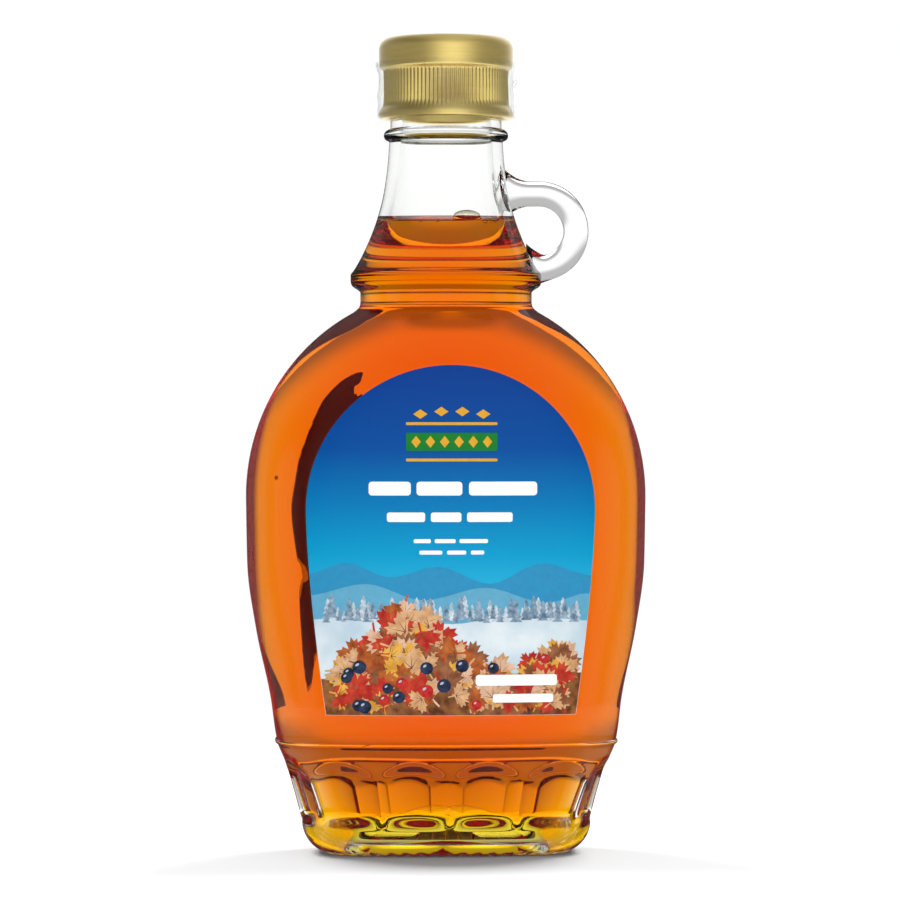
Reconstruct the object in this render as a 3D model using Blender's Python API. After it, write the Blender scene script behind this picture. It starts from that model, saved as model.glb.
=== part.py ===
"""A glass flask of maple syrup with a loop handle, a gold screw cap and two paper labels.

Sizes are written in millimetres and turned into metres when the meshes are made.
The flask stands on z = 0, its front faces -Y and its handle is on the +X side.
"""
import math

import bmesh
import bpy
from mathutils import Vector

MM = 0.001
FIT_GAP = 0.3              # clear space between pieces that touch

# Driving sizes of the flask
BODY_HALF_WIDTH = 43.0
BODY_WAIST_HEIGHT = 76.5   # height of the widest point, where the round top of the body starts
BODY_TOP_RISE = 44.5       # half height of the ellipse that the shoulders follow
SHOULDER_HEIGHT = 116.0
PANEL_DEPTH = 23.8         # from the middle of the flask to the label panels
PANEL_RADIUS = 120.0       # the panels are bowed to this radius
PANEL_BLEND = 1.4          # softness of the edge between a panel and the round sides
RIDGE_HEIGHT = 24.1
FOOT_CORNER = 7.0
FOOT_HALF_WIDTH = 31.0
FOOT_HALF_DEPTH = 17.6
FOOT_PANEL_DEPTH = 16.6
RIDGE_PROUD = 0.45
BEARING_WIDTH = 2.6        # the flat ring that the flask stands on
PUSH_UP = 4.2              # rise of the hollow under the foot
BEAD_HEIGHT = 154.0
BEAD_PROUD = 1.35
BEAD_HALF_THICKNESS = 1.25
LIP_HEIGHT = 173.2
LIP_ROUND = 0.9

# Flutes round the foot
FLUTES = 12
FLUTE_DEPTH = 2.0
FLUTE_TOP = 20.6
FLUTE_ARCH_DROP = 2.2
FLUTE_TOP_RAMP = 2.7
FLUTE_BOTTOM = 6.5
FLUTE_BOTTOM_RAMP = 3.0

# Inside of the glass
FLOOR_HEIGHT = 5.8
FLOOR_CORNER = 5.0
FLOOR_CROWN = 6.6          # the floor inside rises this much to its middle
DOME_CLEAR = 3.2           # the gap over the steep floor, counted upright
SYRUP_LEVEL = 135.1

# Loop handle
HANDLE_CENTRE_X = 20.0
HANDLE_CENTRE_HEIGHT = 133.5
HANDLE_RING_RADIUS = 8.0
HANDLE_ROD_RADIUS = 2.7
HANDLE_FLARE = 1.5
HANDLE_FLARE_LENGTH = 4.0
HANDLE_TOP_ROOT_X = 12.6
HANDLE_FOOT_ROOT_X = 17.3

# Screw cap and its clear sleeve
CAP_BOTTOM = 157.4
CAP_TOP = 174.9
CAP_INSIDE_RADIUS = 12.5
CAP_INSIDE_TOP = 173.6
CAP_BAND_RADIUS = 14.4
CAP_BAND_BOTTOM = 169.0
CAP_GRIP_RADIUS = 13.4
CAP_GRIP_BOTTOM = 161.0
CAP_SKIRT_RADIUS = 14.5
CAP_ROUND = 2.6
SLEEVE_BOTTOM = 157.8
SLEEVE_TOP = 169.6
SLEEVE_THICKNESS = 0.15

# Labels
FRONT_ARCH = 30.5          # rise of the arched tops
BACK_ARCH = 28.0
FRONT_HALF_WIDTH = 30.5
BACK_HALF_WIDTH = 24.0
LABEL_CENTRE_HEIGHT = 74.0
LABEL_BOTTOM = 31.0
FRONT_TAPER = 4.2          # each side comes in this much on the way down
BACK_TAPER = 4.6
LABEL_THICKNESS = 0.2

# Fineness of the meshes
SECTION_POINTS = 60
SECTION_POINTS_CAP = 40
SECTION_POINTS_ROD = 12

# Height and size pairs between which a smooth curve runs
HALF_WIDTHS = (
    (FOOT_CORNER, FOOT_HALF_WIDTH), (13.0, 32.6), (20.0, 34.7), (RIDGE_HEIGHT, 36.3),
    (34.0, 37.8), (48.0, 40.8), (62.0, 42.7), (BODY_WAIST_HEIGHT, BODY_HALF_WIDTH),
)
HALF_DEPTHS = (
    (FOOT_CORNER, FOOT_HALF_DEPTH), (13.0, 19.2), (20.0, 21.3), (RIDGE_HEIGHT, 23.2),
    (30.0, 25.6), (40.0, 26.7), (55.0, 27.5), (BODY_WAIST_HEIGHT, 27.6), (92.0, 26.9),
    (104.0, 24.7), (110.0, 22.9), (SHOULDER_HEIGHT, 19.8),
)
SQUARENESS = ((RIDGE_HEIGHT, 2.9), (34.0, 2.4), (46.0, 2.1), (58.0, 2.0), (SHOULDER_HEIGHT, 2.0))
PANEL_DEPTHS = (
    (FOOT_CORNER, FOOT_PANEL_DEPTH), (13.0, 18.1), (20.0, 20.2), (RIDGE_HEIGHT, 21.8),
    (30.0, PANEL_DEPTH), (105.0, PANEL_DEPTH), (114.0, 20.6), (SHOULDER_HEIGHT, 20.4),
)
NECK_RADII = (
    (SHOULDER_HEIGHT, 19.8), (117.2, 18.6), (118.2, 18.4), (120.2, 18.4), (121.7, 20.2),
    (122.6, 20.5), (124.0, 20.5), (125.0, 19.8), (128.0, 18.1), (132.4, 16.1), (137.0, 14.5),
    (142.0, 13.3), (148.0, 12.5), (152.0, 12.2), (156.0, 11.9), (LIP_HEIGHT, 11.9),
)
WALLS = (
    (FLOOR_HEIGHT, 4.6), (RIDGE_HEIGHT, 3.7), (34.0, 3.3), (108.0, 3.2), (118.0, 3.3),
    (126.0, 3.1), (134.0, 2.7), (150.0, 2.4), (LIP_HEIGHT, 2.3),
)


def smooth(stations, height):
    """Read a size between stations on a curve that never overshoots them."""
    if height <= stations[0][0]:
        return stations[0][1]
    if height >= stations[-1][0]:
        return stations[-1][1]
    slopes = [(b[1] - a[1]) / (b[0] - a[0]) for a, b in zip(stations, stations[1:])]
    tangents = [slopes[0]]
    for before, after in zip(slopes, slopes[1:]):
        product = before * after
        tangents.append(2.0 * product / (before + after) if product > 0.0 else 0.0)
    tangents.append(slopes[-1])
    index = max(i for i in range(len(slopes)) if height >= stations[i][0])
    (start, low), (end, high) = stations[index], stations[index + 1]
    span = end - start
    t = (height - start) / span
    return (
        low * (1.0 + 2.0 * t) * (1.0 - t) ** 2
        + tangents[index] * span * t * (1.0 - t) ** 2
        + high * t * t * (3.0 - 2.0 * t)
        - tangents[index + 1] * span * t * t * (1.0 - t)
    )


def smooth_step(value, start, end):
    """Go from 0 at start to 1 at end without a corner."""
    t = min(1.0, max(0.0, (value - start) / (end - start)))
    return t * t * (3.0 - 2.0 * t)


def soft_min(first, second, softness):
    """The smaller of two sizes, with the corner between them rounded."""
    mix = max(softness - abs(first - second), 0.0) / softness
    return min(first, second) - mix * mix * softness * 0.25


def half_width(height):
    """Half width of the glass, without the bead of the neck."""
    if height >= SHOULDER_HEIGHT:
        return smooth(NECK_RADII, height)
    if height > BODY_WAIST_HEIGHT:
        rise = (height - BODY_WAIST_HEIGHT) / BODY_TOP_RISE
        return BODY_HALF_WIDTH * math.sqrt(1.0 - rise * rise)
    return smooth(HALF_WIDTHS, height)


def half_depth(height):
    """Half depth of the glass before the label panels are taken off."""
    if height >= SHOULDER_HEIGHT:
        return smooth(NECK_RADII, height)
    return smooth(HALF_DEPTHS, height)


def wall_inside(outside, height):
    """Bring a half size in by the wall, measured square to the surface."""
    wall = smooth(WALLS, height)
    steps = [wall * i / 8.0 for i in range(-8, 9)]
    return min(outside(height + step) - math.sqrt(wall * wall - step * step) for step in steps)


def even_angles(count):
    """Angles that lie evenly along the ridge's outline, the first at the +X side."""
    fine = 1440
    square = SQUARENESS[0][1]
    half_w, half_d = half_width(RIDGE_HEIGHT), half_depth(RIDGE_HEIGHT)
    angles = [2.0 * math.pi * i / fine for i in range(fine + 1)]
    points = [superellipse(angle, half_w, half_d, square) for angle in angles]
    lengths = [0.0]
    for a, b in zip(points, points[1:]):
        lengths.append(lengths[-1] + math.dist(a, b))
    found, index = [], 0
    for k in range(count):
        target = lengths[-1] * k / count
        while lengths[index + 1] < target:
            index += 1
        part = (target - lengths[index]) / (lengths[index + 1] - lengths[index])
        found.append(angles[index] + part * (angles[index + 1] - angles[index]))
    return found


def superellipse(angle, half_w, half_d, square):
    """A point of the rounded plan shape of the flask."""
    c, s = math.cos(angle), math.sin(angle)
    x = half_w * math.copysign(abs(c) ** (2.0 / square), c)
    y = half_d * math.copysign(abs(s) ** (2.0 / square), s)
    return x, y


ANGLES = even_angles(SECTION_POINTS)


def section(half_w, half_d, square, panel, height):
    """One level ring of points, flattened at the front and back by the label panels."""
    ring = []
    for angle in ANGLES:
        x, y = superellipse(angle, half_w, half_d, square)
        limit = panel - x * x / (2.0 * PANEL_RADIUS)
        ring.append((x, math.copysign(soft_min(abs(y), limit, PANEL_BLEND), y), height))
    return ring


def panel_depth(height):
    """Distance of a label panel from the middle; the round neck has none."""
    if height > SHOULDER_HEIGHT:
        return 2.0 * BODY_HALF_WIDTH
    return smooth(PANEL_DEPTHS, height)


def outer_ring(height, proud=0.0):
    """Ring of the outer glass, with what stands proud of it."""
    half_w, half_d = half_width(height) + proud, half_depth(height) + proud
    return section(half_w, half_d, smooth(SQUARENESS, height), panel_depth(height) + proud, height)


def fluted(ring, height):
    """Press the flutes into a ring of the foot, square to its outline."""
    count = len(ring)
    pressed = []
    for k, (x, y, z) in enumerate(ring):
        before, after = ring[k - 1], ring[(k + 1) % count]
        normal = Vector((after[1] - before[1], before[0] - after[0])).normalized()
        across = (k * FLUTES / count) % 1.0
        top = FLUTE_TOP - FLUTE_ARCH_DROP * (2.0 * across - 1.0) ** 2
        along = smooth_step(height, FLUTE_BOTTOM, FLUTE_BOTTOM + FLUTE_BOTTOM_RAMP)
        along *= 1.0 - smooth_step(height, top - FLUTE_TOP_RAMP, top)
        depth = FLUTE_DEPTH * math.sin(math.pi * across) ** 0.7 * along
        pressed.append((x - normal.x * depth, y - normal.y * depth, z))
    return pressed


def heights_between(start, end, steps):
    """Evenly spaced heights after start, up to end."""
    return [start + (end - start) * (i + 1) / steps for i in range(steps)]


def foot_rings():
    """Rings under the foot, out over the flat bearing ring and round its corner."""
    edge = outer_ring(FOOT_CORNER, proud=-FOOT_CORNER)
    hollow = outer_ring(FOOT_CORNER, proud=-FOOT_CORNER - BEARING_WIDTH)
    rings = []
    for share in (0.35, 0.75, 1.0):
        rise = PUSH_UP * (1.0 - share * share)
        rings.append([(x * share, y * share, rise) for x, y, z in hollow])
    rings.append([(x, y, 0.0) for x, y, z in edge])
    for turn in (22.0, 43.0, 62.0, 80.0):
        up = FOOT_CORNER * (1.0 - math.cos(math.radians(turn)))
        out = FOOT_CORNER * (1.0 - math.sin(math.radians(turn)))
        corner = [(x, y, up) for x, y, z in outer_ring(FOOT_CORNER, proud=-out)]
        rings.append(fluted(corner, up))
    return rings


def outer_rings():
    """All rings of the outside, from the hollow under the foot to the lip."""
    rings = foot_rings()
    for height in (FOOT_CORNER, 9.5, 12.5, 15.5, 17.5, 19.0, 20.4, 22.4):
        rings.append(fluted(outer_ring(height), height))
    for half_edge in (-0.4, 0.4):
        rings.append(outer_ring(RIDGE_HEIGHT + half_edge, proud=RIDGE_PROUD))
    body = [25.6, 28.0] + heights_between(28.0, BODY_WAIST_HEIGHT, 6)
    body += heights_between(BODY_WAIST_HEIGHT, 105.0, 4) + [108.5, 111.5, 113.8, 115.4]
    neck = [116.6, 117.6, 119.0, 120.4, 121.4, 122.4, 124.2, 125.2, 128.0, 131.5, 136.0, 143.0, 152.0]
    rings += [outer_ring(height) for height in body + neck]
    for step in range(5):
        turn = math.pi * step / 4.0
        height = BEAD_HEIGHT - BEAD_HALF_THICKNESS * math.cos(turn)
        rings.append(outer_ring(height, proud=BEAD_PROUD * math.sin(turn)))
    rings.append(outer_ring(LIP_HEIGHT - LIP_ROUND))
    rings.append([(x, y, LIP_HEIGHT) for x, y, z in outer_ring(LIP_HEIGHT, proud=-LIP_ROUND)])
    return rings


def inner_ring(height, clear=0.0):
    """Ring of the inside of the glass, brought in by a clear space where something fills it."""
    half_w = wall_inside(half_width, height)
    half_d = wall_inside(half_depth, height)
    panel = wall_inside(panel_depth, height)
    if height < FLOOR_HEIGHT + FLOOR_CORNER:
        up = FLOOR_HEIGHT + FLOOR_CORNER - height
        round_in = FLOOR_CORNER - math.sqrt(max(FLOOR_CORNER ** 2 - up * up, 0.0))
        half_w, half_d, panel = half_w - round_in, half_d - round_in, panel - round_in
    square = smooth(SQUARENESS, height)
    return section(half_w - clear, half_d - clear, square, panel - clear, height)


def floor_rings(clear=0.0):
    """Rings of the inside floor, from near its middle to its round corner."""
    base = inner_ring(FLOOR_HEIGHT, clear)
    rings = []
    for share in (0.4, 0.8, 1.0):
        rise = FLOOR_CROWN * (1.0 - share * share) ** 1.3 + DOME_CLEAR * clear
        rings.append([(x * share, y * share, z + rise) for x, y, z in base])
    for turn in (35.0, 65.0):
        height = FLOOR_HEIGHT + FLOOR_CORNER * (1.0 - math.cos(math.radians(turn)))
        rings.append([(x, y, z + clear) for x, y, z in inner_ring(height, clear)])
    return rings


def wall_heights(top):
    """Heights of the inner rings between the floor's corner and a top."""
    low = [FLOOR_HEIGHT + FLOOR_CORNER + 2.0, 24.0, 31.0]
    body = heights_between(31.0, 105.0, 5)
    high = [110.5, 114.5, 118.0, 120.5, 123.5, 128.0, 134.0, 148.0]
    return [height for height in low + body + high if height < top - 1.0]


def add_loft(mesh, rings, crown_start, crown_end):
    """Skin a stack of rings and close both ends with a fan to a middle point."""
    levels = [[mesh.verts.new(Vector(point) * MM) for point in ring] for ring in rings]
    count = len(levels[0])
    for low, high in zip(levels, levels[1:]):
        for k in range(count):
            after = (k + 1) % count
            mesh.faces.new((low[k], low[after], high[after], high[k]))
    for ring, height, turned in ((levels[0], crown_start, True), (levels[-1], crown_end, False)):
        middle = mesh.verts.new(Vector((0.0, 0.0, height)) * MM)
        for k in range(count):
            corners = (ring[k], ring[(k + 1) % count], middle)
            mesh.faces.new(corners[::-1] if turned else corners)


def add_object(name, mesh, material, sharp_degrees=32.0):
    """Turn a bmesh into an object with its faces pointing out and its round parts smooth."""
    bmesh.ops.recalc_face_normals(mesh, faces=mesh.faces)
    bmesh.ops.triangulate(mesh, faces=mesh.faces)
    data = bpy.data.meshes.new(name)
    mesh.to_mesh(data)
    mesh.free()
    data.shade_smooth()
    data.set_sharp_from_angle(angle=math.radians(sharp_degrees))
    data.materials.append(material)
    piece = bpy.data.objects.new(name, data)
    bpy.context.scene.collection.objects.link(piece)
    return piece


def make_material(name, colour, roughness, metallic=0.0, transmission=0.0, ior=1.5):
    """A plain finish in the piece's own colour."""
    material = bpy.data.materials.new(name)
    material.use_nodes = True
    shader = material.node_tree.nodes["Principled BSDF"]
    shader.inputs["Base Color"].default_value = (*colour, 1.0)
    shader.inputs["Roughness"].default_value = roughness
    shader.inputs["Metallic"].default_value = metallic
    shader.inputs["Transmission Weight"].default_value = transmission
    shader.inputs["IOR"].default_value = ior
    material.diffuse_color = (*colour, 1.0)
    return material


def handle_path():
    """Middle line of the loop handle, from the neck round to the collar."""
    top = HANDLE_CENTRE_HEIGHT + HANDLE_RING_RADIUS
    foot = HANDLE_CENTRE_HEIGHT - HANDLE_RING_RADIUS
    reach = HANDLE_CENTRE_X - HANDLE_TOP_ROOT_X
    path = [(HANDLE_TOP_ROOT_X + reach * share, top) for share in (0.0, 0.25, 0.5, 0.75)]
    for step in range(15):
        turn = math.radians(90.0 - 180.0 * step / 14.0)
        x = HANDLE_CENTRE_X + HANDLE_RING_RADIUS * math.cos(turn)
        path.append((x, HANDLE_CENTRE_HEIGHT + HANDLE_RING_RADIUS * math.sin(turn)))
    path.append(((HANDLE_CENTRE_X + HANDLE_FOOT_ROOT_X) / 2.0, foot))
    path.append((HANDLE_FOOT_ROOT_X, foot))
    return path


def handle_rod():
    """The loop handle as a round rod that widens where it joins the glass."""
    path = handle_path()
    mesh = bmesh.new()
    lengths = [0.0]
    for a, b in zip(path, path[1:]):
        lengths.append(lengths[-1] + math.dist(a, b))
    rings = []
    for i, (x, z) in enumerate(path):
        before, after = path[max(i - 1, 0)], path[min(i + 1, len(path) - 1)]
        along = Vector((after[0] - before[0], 0.0, after[1] - before[1])).normalized()
        side = Vector((0.0, 1.0, 0.0))
        up = along.cross(side)
        to_end = min(lengths[i], lengths[-1] - lengths[i])
        flare = HANDLE_FLARE * max(0.0, 1.0 - to_end / HANDLE_FLARE_LENGTH) ** 2
        ring = []
        for k in range(SECTION_POINTS_ROD):
            turn = 2.0 * math.pi * k / SECTION_POINTS_ROD
            spread = (HANDLE_ROD_RADIUS + flare) * math.cos(turn)
            thick = HANDLE_ROD_RADIUS * math.sin(turn)
            ring.append(mesh.verts.new((Vector((x, 0.0, z)) + up * spread + side * thick) * MM))
        rings.append(ring)
    for low, high in zip(rings, rings[1:]):
        for k in range(SECTION_POINTS_ROD):
            after = (k + 1) % SECTION_POINTS_ROD
            mesh.faces.new((low[k], low[after], high[after], high[k]))
    mesh.faces.new(rings[0])
    mesh.faces.new(rings[-1])
    return mesh


def join_handle(flask, rod):
    """Fuse the handle into the glass and drop the loose rod."""
    union = flask.modifiers.new("fused handle", "BOOLEAN")
    union.operation = "UNION"
    union.solver = "EXACT"
    union.object = rod
    evaluated = flask.evaluated_get(bpy.context.evaluated_depsgraph_get())
    fused = bpy.data.meshes.new_from_object(evaluated)
    flask.modifiers.remove(union)
    flask.data = fused
    bpy.data.objects.remove(rod)


def make_flask():
    """The hollow glass body, open at its mouth, with its handle."""
    glass = make_material("clear glass", (0.93, 0.97, 0.95), 0.02, transmission=1.0, ior=1.52)
    rings = outer_rings()
    rings.append(inner_ring(LIP_HEIGHT, clear=-LIP_ROUND * 0.5))
    rings += [inner_ring(height) for height in reversed(wall_heights(LIP_HEIGHT) + [LIP_HEIGHT - 2.0])]
    rings += list(reversed(floor_rings()))
    mesh = bmesh.new()
    add_loft(mesh, rings, PUSH_UP, FLOOR_HEIGHT + FLOOR_CROWN)
    flask = add_object("bottle", mesh, glass)
    rod = add_object("handle_rod", handle_rod(), glass)
    join_handle(flask, rod)
    flask.data.name = "bottle"


def make_syrup():
    """The syrup that fills the flask up to its level in the neck."""
    amber = make_material("amber syrup", (0.85, 0.22, 0.01), 0.05, transmission=0.7, ior=1.46)
    rings = floor_rings(FIT_GAP)
    rings += [inner_ring(height, FIT_GAP) for height in wall_heights(SYRUP_LEVEL) + [SYRUP_LEVEL]]
    rings = [ring[::2] for ring in rings]
    mesh = bmesh.new()
    add_loft(mesh, rings, FLOOR_HEIGHT + FLOOR_CROWN + DOME_CLEAR * FIT_GAP, SYRUP_LEVEL)
    add_object("syrup", mesh, amber)


def add_turned(name, profile, material, is_tube):
    """A piece turned round the upright axis: a tube, or a cup closed by flat discs at both ends."""
    mesh = bmesh.new()
    levels = []
    for radius, height in profile:
        ring = []
        for k in range(SECTION_POINTS_CAP):
            turn = 2.0 * math.pi * k / SECTION_POINTS_CAP
            point = Vector((radius * math.cos(turn), radius * math.sin(turn), height))
            ring.append(mesh.verts.new(point * MM))
        levels.append(ring)
    if is_tube:
        levels.append(levels[0])
    else:
        mesh.faces.new(levels[0])
        mesh.faces.new(levels[-1])
    for low, high in zip(levels, levels[1:]):
        for k in range(SECTION_POINTS_CAP):
            after = (k + 1) % SECTION_POINTS_CAP
            mesh.faces.new((low[k], low[after], high[after], high[k]))
    add_object(name, mesh, material)


def make_cap():
    """The gold screw cap: a smooth top band, a narrower grip and a flared skirt."""
    gold = make_material("gold lacquered metal", (0.62, 0.50, 0.20), 0.38, metallic=1.0)
    profile = []
    for degrees in (0.0, 30.0, 60.0, 90.0):
        turn = math.radians(degrees)
        radius = CAP_BAND_RADIUS - CAP_ROUND * (1.0 - math.sin(turn))
        profile.append((radius, CAP_TOP - CAP_ROUND * (1.0 - math.cos(turn))))
    profile += [
        (CAP_BAND_RADIUS, CAP_BAND_BOTTOM + 0.3), (CAP_GRIP_RADIUS, CAP_BAND_BOTTOM - 0.5),
        (CAP_GRIP_RADIUS, CAP_GRIP_BOTTOM + 0.4), (CAP_SKIRT_RADIUS, CAP_GRIP_BOTTOM - 0.5),
        (CAP_SKIRT_RADIUS, CAP_BOTTOM + 0.6), (CAP_SKIRT_RADIUS - 0.5, CAP_BOTTOM),
        (CAP_INSIDE_RADIUS, CAP_BOTTOM), (CAP_INSIDE_RADIUS, CAP_INSIDE_TOP),
    ]
    add_turned("cap", profile, gold, is_tube=False)


def make_shrink_band():
    """The clear tamper sleeve round the grip and skirt of the cap."""
    film = make_material("clear film", (0.95, 0.96, 0.95), 0.12, transmission=1.0, ior=1.45)
    inside = CAP_SKIRT_RADIUS + FIT_GAP
    outside = inside + SLEEVE_THICKNESS
    profile = [
        (outside, SLEEVE_TOP), (outside, SLEEVE_BOTTOM), (inside, SLEEVE_BOTTOM), (inside, SLEEVE_TOP),
    ]
    add_turned("shrink_band", profile, film, is_tube=True)


def label_half_width(height, widest, taper, arch):
    """Half width of a label: an arch on sides that taper down."""
    rise = height - LABEL_CENTRE_HEIGHT
    if rise > 0.0:
        return widest * math.sqrt(max(1.0 - (rise / arch) ** 2, 0.0))
    return widest - taper * (-rise / (LABEL_CENTRE_HEIGHT - LABEL_BOTTOM)) ** 1.5


def glass_depth(x, height):
    """Distance of the outer glass from the middle, straight in front of or behind x."""
    square = smooth(SQUARENESS, height)
    across = min(abs(x) / half_width(height), 1.0)
    body = half_depth(height) * (1.0 - across ** square) ** (1.0 / square)
    return soft_min(body, panel_depth(height) - x * x / (2.0 * PANEL_RADIUS), PANEL_BLEND)


def make_label(name, colour, side, widest, taper, arch):
    """A paper label wrapped on its panel; side is -1 for the front and 1 for the back."""
    paper = make_material(name + " paper", colour, 0.45)
    columns = 14
    low = heights_between(LABEL_BOTTOM, LABEL_CENTRE_HEIGHT, 4)
    turns = (15.0, 30.0, 44.0, 56.0, 66.0, 75.0, 83.0)
    high = [LABEL_CENTRE_HEIGHT + arch * math.sin(math.radians(turn)) for turn in turns]
    heights = [LABEL_BOTTOM] + low + high
    mesh = bmesh.new()
    sheets = []
    for lift in (FIT_GAP, FIT_GAP + LABEL_THICKNESS):
        sheet = []
        for height in heights:
            reach = label_half_width(height, widest, taper, arch)
            row = []
            for k in range(columns + 1):
                x = reach * (2.0 * k / columns - 1.0)
                slope = (glass_depth(x + 0.1, height) - glass_depth(x - 0.1, height)) / 0.2
                y = side * (glass_depth(x, height) + lift * math.hypot(1.0, slope))
                row.append(mesh.verts.new(Vector((x, y, height)) * MM))
            sheet.append(row)
        sheets.append(sheet)
    for sheet in sheets:
        for low_row, high_row in zip(sheet, sheet[1:]):
            for k in range(columns):
                mesh.faces.new((low_row[k], low_row[k + 1], high_row[k + 1], high_row[k]))
    rims = [rim_of(sheet) for sheet in sheets]
    count = len(rims[0])
    for k in range(count):
        after = (k + 1) % count
        mesh.faces.new((rims[0][k], rims[0][after], rims[1][after], rims[1][k]))
    add_object(name, mesh, paper)


def rim_of(sheet):
    """The points round the edge of a sheet, in order."""
    right = [row[-1] for row in sheet[1:-1]]
    left = [row[0] for row in sheet[1:-1]]
    return sheet[0] + right + sheet[-1][::-1] + left[::-1]


def main():
    """Clear the scene and make every piece."""
    for piece in list(bpy.data.objects):
        bpy.data.objects.remove(piece)
    make_flask()
    make_syrup()
    make_cap()
    make_shrink_band()
    make_label("front_label", (0.02, 0.16, 0.45), -1.0, FRONT_HALF_WIDTH, FRONT_TAPER, FRONT_ARCH)
    make_label("back_label", (0.85, 0.85, 0.82), 1.0, BACK_HALF_WIDTH, BACK_TAPER, BACK_ARCH)


main()
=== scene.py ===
"""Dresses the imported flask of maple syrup: glass, amber syrup, gold cap, film sleeve and printed labels."""
import math
import random

import bmesh
import bpy
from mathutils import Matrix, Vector


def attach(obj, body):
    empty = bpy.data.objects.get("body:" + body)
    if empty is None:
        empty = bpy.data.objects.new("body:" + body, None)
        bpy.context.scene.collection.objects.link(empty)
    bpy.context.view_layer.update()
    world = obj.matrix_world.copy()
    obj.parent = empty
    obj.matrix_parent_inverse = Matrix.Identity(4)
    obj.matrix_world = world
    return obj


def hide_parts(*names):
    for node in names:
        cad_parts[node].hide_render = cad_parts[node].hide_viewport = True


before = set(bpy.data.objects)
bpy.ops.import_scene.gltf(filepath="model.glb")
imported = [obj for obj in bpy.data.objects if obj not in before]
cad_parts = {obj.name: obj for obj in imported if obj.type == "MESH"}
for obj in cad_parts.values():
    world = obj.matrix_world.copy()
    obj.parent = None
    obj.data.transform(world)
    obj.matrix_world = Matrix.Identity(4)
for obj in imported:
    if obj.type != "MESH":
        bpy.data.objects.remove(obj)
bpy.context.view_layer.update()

# Glass flask. One piece of pressed and blown clear glass: a round-shouldered body with a bowed panel on
# the front and the back, a ridge over a fluted foot, and a neck with a collar and a loop handle that was
# pressed on while hot. The wall is thin in the body and thick in the foot.

MM = 0.001
LIP_HEIGHT = 173.2
LIP_ROUND = 0.9
BODY_HALF_WIDTH = 42.98
WAIST_HEIGHT = 76.5
TOP_RISE = 44.5
SHOULDER_HEIGHT = 116.0
PANEL_DEPTH = 23.8
PANEL_RADIUS = 120.0
PANEL_BLEND = 1.4
RIDGE_HEIGHT = 24.1
RIDGE_PROUD = 0.43
FOOT_CORNER = 7.0
FOOT_HALF_WIDTH = 31.0
FOOT_HALF_DEPTH = 17.6
FOOT_PANEL_DEPTH = 16.6
BEARING_WIDTH = 2.6
PUSH_UP = 4.2
KNURLS = 48
KNURL_DEPTH = 0.45
KNURL_TOP = 1.5
BEAD_HEIGHT = 154.0
BEAD_PROUD = 1.35
BEAD_HALF_THICKNESS = 1.25
FLUTES = 12
FLUTE_DEPTH = 2.0
FLUTE_TOP = 20.6
FLUTE_ARCH_DROP = 2.2
FLUTE_TOP_RAMP = 2.7
FLUTE_BOTTOM = 6.5
FLUTE_BOTTOM_RAMP = 3.0
FLOOR_HEIGHT = 4.3
FLOOR_CORNER = 4.6
FLOOR_CROWN = 7.6
SIDE_POINTS = 240
SAMPLES_ROUND = 1440
HALF_WIDTHS = (
    (FOOT_CORNER, FOOT_HALF_WIDTH), (13.0, 32.6), (20.0, 34.7), (RIDGE_HEIGHT, 36.3),
    (34.0, 37.8), (48.0, 40.8), (62.0, 42.7), (WAIST_HEIGHT, BODY_HALF_WIDTH),
)
HALF_DEPTHS = (
    (FOOT_CORNER, FOOT_HALF_DEPTH), (13.0, 19.2), (20.0, 21.3), (RIDGE_HEIGHT, 23.2),
    (30.0, 25.6), (40.0, 26.7), (55.0, 27.5), (WAIST_HEIGHT, 27.6), (92.0, 26.9),
    (104.0, 24.7), (110.0, 22.9), (SHOULDER_HEIGHT, 19.8),
)
SQUARENESS = ((RIDGE_HEIGHT, 2.9), (34.0, 2.4), (46.0, 2.1), (58.0, 2.0), (SHOULDER_HEIGHT, 2.0))
PANEL_DEPTHS = (
    (FOOT_CORNER, FOOT_PANEL_DEPTH), (13.0, 18.1), (20.0, 20.2), (RIDGE_HEIGHT, 21.8),
    (30.0, PANEL_DEPTH), (105.0, PANEL_DEPTH), (114.0, 20.6), (SHOULDER_HEIGHT, 20.4),
)
NECK_RADII = (
    (SHOULDER_HEIGHT, 19.8), (117.2, 18.6), (118.2, 18.4), (120.2, 18.4), (121.7, 20.2),
    (122.6, 20.5), (124.0, 20.5), (125.0, 19.8), (128.0, 18.1), (132.4, 16.1), (137.0, 14.5),
    (142.0, 13.3), (148.0, 12.5), (152.0, 12.2), (156.0, 11.9), (LIP_HEIGHT, 11.9),
)
WALLS = (
    (FLOOR_HEIGHT, 4.6), (RIDGE_HEIGHT, 3.7), (34.0, 3.3), (108.0, 3.2), (118.0, 3.3),
    (126.0, 3.1), (134.0, 2.7), (150.0, 2.4), (LIP_HEIGHT, 2.3),
)


def smooth(stations, height):
    """Read a size between stations on a curve that never overshoots them."""
    if height <= stations[0][0]:
        return stations[0][1]
    if height >= stations[-1][0]:
        return stations[-1][1]
    slopes = [(b[1] - a[1]) / (b[0] - a[0]) for a, b in zip(stations, stations[1:])]
    tangents = [slopes[0]]
    for before, after in zip(slopes, slopes[1:]):
        product = before * after
        tangents.append(2.0 * product / (before + after) if product > 0.0 else 0.0)
    tangents.append(slopes[-1])
    index = max(i for i in range(len(slopes)) if height >= stations[i][0])
    (start, low), (end, high) = stations[index], stations[index + 1]
    span = end - start
    t = (height - start) / span
    return (
        low * (1.0 + 2.0 * t) * (1.0 - t) ** 2
        + tangents[index] * span * t * (1.0 - t) ** 2
        + high * t * t * (3.0 - 2.0 * t)
        - tangents[index + 1] * span * t * t * (1.0 - t)
    )


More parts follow.
